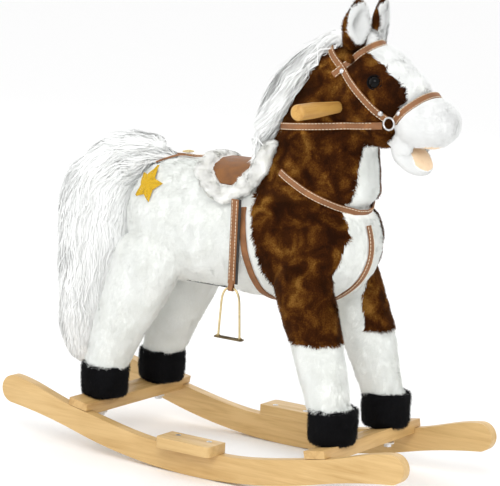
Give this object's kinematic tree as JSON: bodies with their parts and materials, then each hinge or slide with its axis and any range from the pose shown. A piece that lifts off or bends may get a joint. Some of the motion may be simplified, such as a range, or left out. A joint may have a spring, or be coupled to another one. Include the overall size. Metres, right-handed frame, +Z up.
{
  "type": "rocking horse",
  "caption": "Plush rocking horse on curved wooden rockers, with a handle through the head, saddle, bridle, hanging stirrups, opening jaw and wagging tail.",
  "frame": {"origin": "on the floor midway between the rockers, under the lowest point of their arcs", "axes": "+X towards the nose, +Y to the horse's left, +Z up"},
  "size_m": [0.75, 0.336, 0.738],
  "materials": {
    "rocker_wood": "satin",
    "slat_wood": "satin",
    "frame_wood": "matte",
    "handle_wood": "satin",
    "steel": "satin",
    "white_plastic": "matte",
    "black_plastic": "matte",
    "white_plush": "matte",
    "brown_plush": "matte",
    "long_fur": "matte",
    "fleece": "matte",
    "black_plush": "matte",
    "gold_thread": "satin",
    "cream_thread": "satin",
    "eye": "gloss",
    "leather": "satin",
    "brass": "polished"
  },
  "bodies": {
    "horse": {"rocker_right": "rocker_wood", "rocker_left": "rocker_wood", "front_slat": "slat_wood", "rear_slat": "slat_wood", "pedal_right": "rocker_wood", "pedal_left": "rocker_wood", "pedal_screws": "steel", "leg_bolts": "steel", "leg_bolt_caps": "white_plastic", "post_front_right": "frame_wood", "post_front_left": "frame_wood", "post_rear_right": "frame_wood", "post_rear_left": "frame_wood", "spine_beam": "frame_wood", "shoulder_block": "frame_wood", "hip_block": "frame_wood", "neck_post": "frame_wood", "head_block": "frame_wood", "handle_stud": "steel", "handle_right": "handle_wood", "handle_left": "handle_wood", "jaw_motor": "black_plastic", "tail_motor": "black_plastic", "battery_box": "black_plastic", "battery_cells": "steel", "sound_module": "black_plastic", "torso_plush": "white_plush", "neck_plush": "brown_plush", "head_plush": "brown_plush", "muzzle_plush": "white_plush", "leg_front_right": "brown_plush", "leg_front_left": "brown_plush", "leg_rear_right": "white_plush", "leg_rear_left": "white_plush", "ear_right": "brown_plush", "ear_left": "brown_plush", "eyes": "eye", "mane": "long_fur", "saddle_seat": "leather", "saddle_fleece": "fleece", "girth_strap": "leather", "crupper_strap": "leather", "crupper_buckle": "brass", "breast_strap": "leather", "bridle": "leather", "bit_rings": "steel", "reins": "leather"},
    "jaw": {"jaw_frame": "white_plastic", "jaw_shaft": "steel", "jaw_plush": "white_plush"},
    "tail": {"tail_core": "white_plastic", "tail_plush": "long_fur"},
    "strap_right": {"stirrup_strap_right": "leather"},
    "strap_left": {"stirrup_strap_left": "leather"},
    "stirrup_right": {"stirrup_right": "brass"},
    "stirrup_left": {"stirrup_left": "brass"},
    "ear_button": {"ear_button": "white_plastic"},
    "battery_lid": {"battery_lid": "black_plastic"},
    "power_switch": {"power_switch": "black_plastic"}
  },
  "joints": [
    {"name": "jaw_hinge", "type": "hinge", "parent": "horse", "child": "jaw", "pos_m": [0.238, 0, 0.54], "axis": [0, 1, 0], "range_deg": [-18, 0]},
    {"name": "tail_wag", "type": "hinge", "parent": "horse", "child": "tail", "pos_m": [-0.19, 0, 0.47], "axis": [0, 0, 1], "range_deg": [-18, 18]},
    {"name": "strap_lift_right", "type": "hinge", "parent": "horse", "child": "strap_right", "pos_m": [0.028, -0.0935, 0.428], "axis": [1, 0, 0], "range_deg": [-40, 0]},
    {"name": "strap_lift_left", "type": "hinge", "parent": "horse", "child": "strap_left", "pos_m": [0.028, 0.0935, 0.428], "axis": [1, 0, 0], "range_deg": [0, 40]},
    {"name": "stirrup_swing_right", "type": "hinge", "parent": "strap_right", "child": "stirrup_right", "pos_m": [0.028, -0.0935, 0.29], "axis": [1, 0, 0], "range_deg": [-60, 20]},
    {"name": "stirrup_swing_left", "type": "hinge", "parent": "strap_left", "child": "stirrup_left", "pos_m": [0.028, 0.0935, 0.29], "axis": [1, 0, 0], "range_deg": [-20, 60]},
    {"name": "ear_press", "type": "slide", "parent": "horse", "child": "ear_button", "axis": [0, 1, 0], "range_m": [0, 0.0015], "stiffness_N_per_m": 400, "springref_m": -0.001},
    {"name": "battery_lid_hinge", "type": "hinge", "parent": "horse", "child": "battery_lid", "pos_m": [-0.06, 0.0275, 0.276], "axis": [1, 0, 0], "range_deg": [0, 95]},
    {"name": "power_slide", "type": "slide", "parent": "horse", "child": "power_switch", "axis": [1, 0, 0], "range_m": [0, 0.004]}
  ]
}
